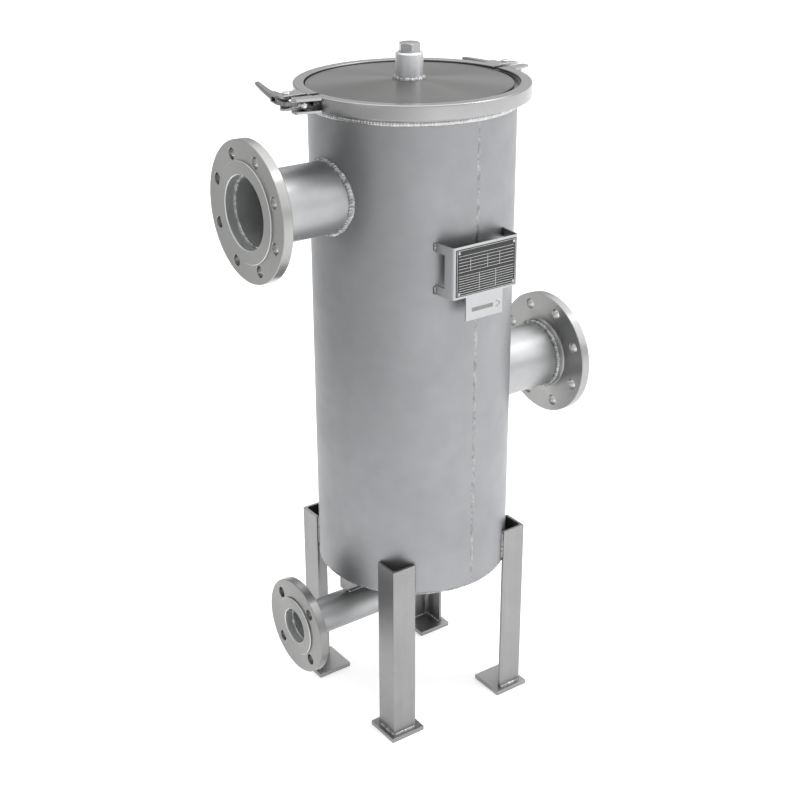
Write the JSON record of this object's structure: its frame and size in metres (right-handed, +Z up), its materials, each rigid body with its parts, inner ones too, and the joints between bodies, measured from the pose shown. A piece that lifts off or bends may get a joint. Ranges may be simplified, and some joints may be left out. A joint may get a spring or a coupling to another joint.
{
  "type": "simplex strainer",
  "caption": "Upright stainless basket strainer on four angle legs, with flanged inlet, outlet and drain and a clamped lid.",
  "frame": {"origin": "on the vessel's vertical axis, at floor level under the feet", "axes": "+Z up, inlet towards -X, outlet towards +X, nameplate towards -Y"},
  "size_m": [0.62, 0.381, 1.1645],
  "materials": {
    "blasted_steel": "bead-blasted and pickled stainless sheet, matt with faint cloudy marks",
    "turned_steel": "stainless steel with concentric turning marks",
    "pipe_steel": "pickled stainless pipe, half matt",
    "polished_steel": "polished stainless steel",
    "rolled_steel": "hot-rolled and pickled stainless section, slightly streaky",
    "cast_steel": "investment-cast stainless steel, satin",
    "sheet_steel": "cold-rolled stainless sheet, half bright",
    "black_plate": "black anodised plate, satin",
    "black_rubber": "black rubber, matt"
  },
  "bodies": {
    "root": {"shell": "blasted_steel", "bottom_plate": "rolled_steel", "collar": "turned_steel", "lid_seal": "black_rubber", "lid": "turned_steel", "vent_socket": "pipe_steel", "clamp_front_half": "polished_steel", "clamp_rear_half": "polished_steel", "front_ears": "polished_steel", "front_cheeks": "polished_steel", "rear_forks": "polished_steel", "lever_pin_left": "polished_steel", "lever_pin_right": "polished_steel", "inlet_pipe": "pipe_steel", "inlet_flange": "turned_steel", "outlet_pipe": "pipe_steel", "outlet_flange": "turned_steel", "drain_elbow": "pipe_steel", "drain_pipe": "pipe_steel", "drain_flange": "turned_steel", "drain_gusset": "rolled_steel", "leg_front_left": "rolled_steel", "leg_front_right": "rolled_steel", "leg_rear_left": "rolled_steel", "leg_rear_right": "rolled_steel", "foot_front_left": "rolled_steel", "foot_front_right": "rolled_steel", "foot_rear_left": "rolled_steel", "foot_rear_right": "rolled_steel", "nameplate_bracket": "sheet_steel", "nameplate": "black_plate", "nameplate_rivets": "sheet_steel", "basket_seat": "sheet_steel", "basket_seal": "black_rubber", "basket_rim": "sheet_steel", "basket": "sheet_steel", "basket_bottom": "sheet_steel", "mesh_liner": "sheet_steel"},
    "left_lever": {"lever_left": "cast_steel", "link_pin_left": "polished_steel"},
    "left_link": {"link_left": "cast_steel", "link_nut_left": "polished_steel"},
    "right_lever": {"lever_right": "cast_steel", "link_pin_right": "polished_steel"},
    "right_link": {"link_right": "cast_steel", "link_nut_right": "polished_steel"},
    "vent_ring": {"vent_seal": "sheet_steel"},
    "vent_screw": {"vent_plug": "polished_steel"},
    "bail": {"bail_handle": "polished_steel"}
  },
  "joints": [
    {"name": "left_lever_turn", "type": "hinge", "parent": "root", "child": "left_lever", "pos_m": [-0.212, 0.029, 1.095], "axis": [0, 0, 1], "range_deg": [0, 90]},
    {"name": "left_link_turn", "type": "hinge", "parent": "left_lever", "child": "left_link", "pos_m": [-0.21378, 0.04591, 1.095], "axis": [0, 0, 1], "range_deg": [-99, 0]},
    {"name": "right_lever_turn", "type": "hinge", "parent": "root", "child": "right_lever", "pos_m": [0.212, 0.029, 1.095], "axis": [0, 0, 1], "range_deg": [-90, 0]},
    {"name": "right_link_turn", "type": "hinge", "parent": "right_lever", "child": "right_link", "pos_m": [0.21378, 0.04591, 1.095], "axis": [0, 0, 1], "range_deg": [0, 99]},
    {"name": "vent_rise", "type": "slide", "parent": "root", "child": "vent_ring", "axis": [0, 0, 1], "range_m": [0, 0.01451]},
    {"name": "vent_turn", "type": "hinge", "parent": "vent_ring", "child": "vent_screw", "pos_m": [-0.004, 0.002, 1.1525], "axis": [0, 0, 1], "range_deg": [0, 2880]},
    {"name": "bail_swing", "type": "hinge", "parent": "root", "child": "bail", "pos_m": [0, 0, 0.88], "axis": [0, 1, 0], "range_deg": [0, 180]}
  ],
  "couplings": [
    {"joint": "left_link_turn", "follows": "left_lever_turn", "ratio": -1.1},
    {"joint": "right_link_turn", "follows": "right_lever_turn", "ratio": -1.1},
    {"joint": "vent_turn", "follows": "vent_rise", "rad_per_m": 3463.7}
  ]
}
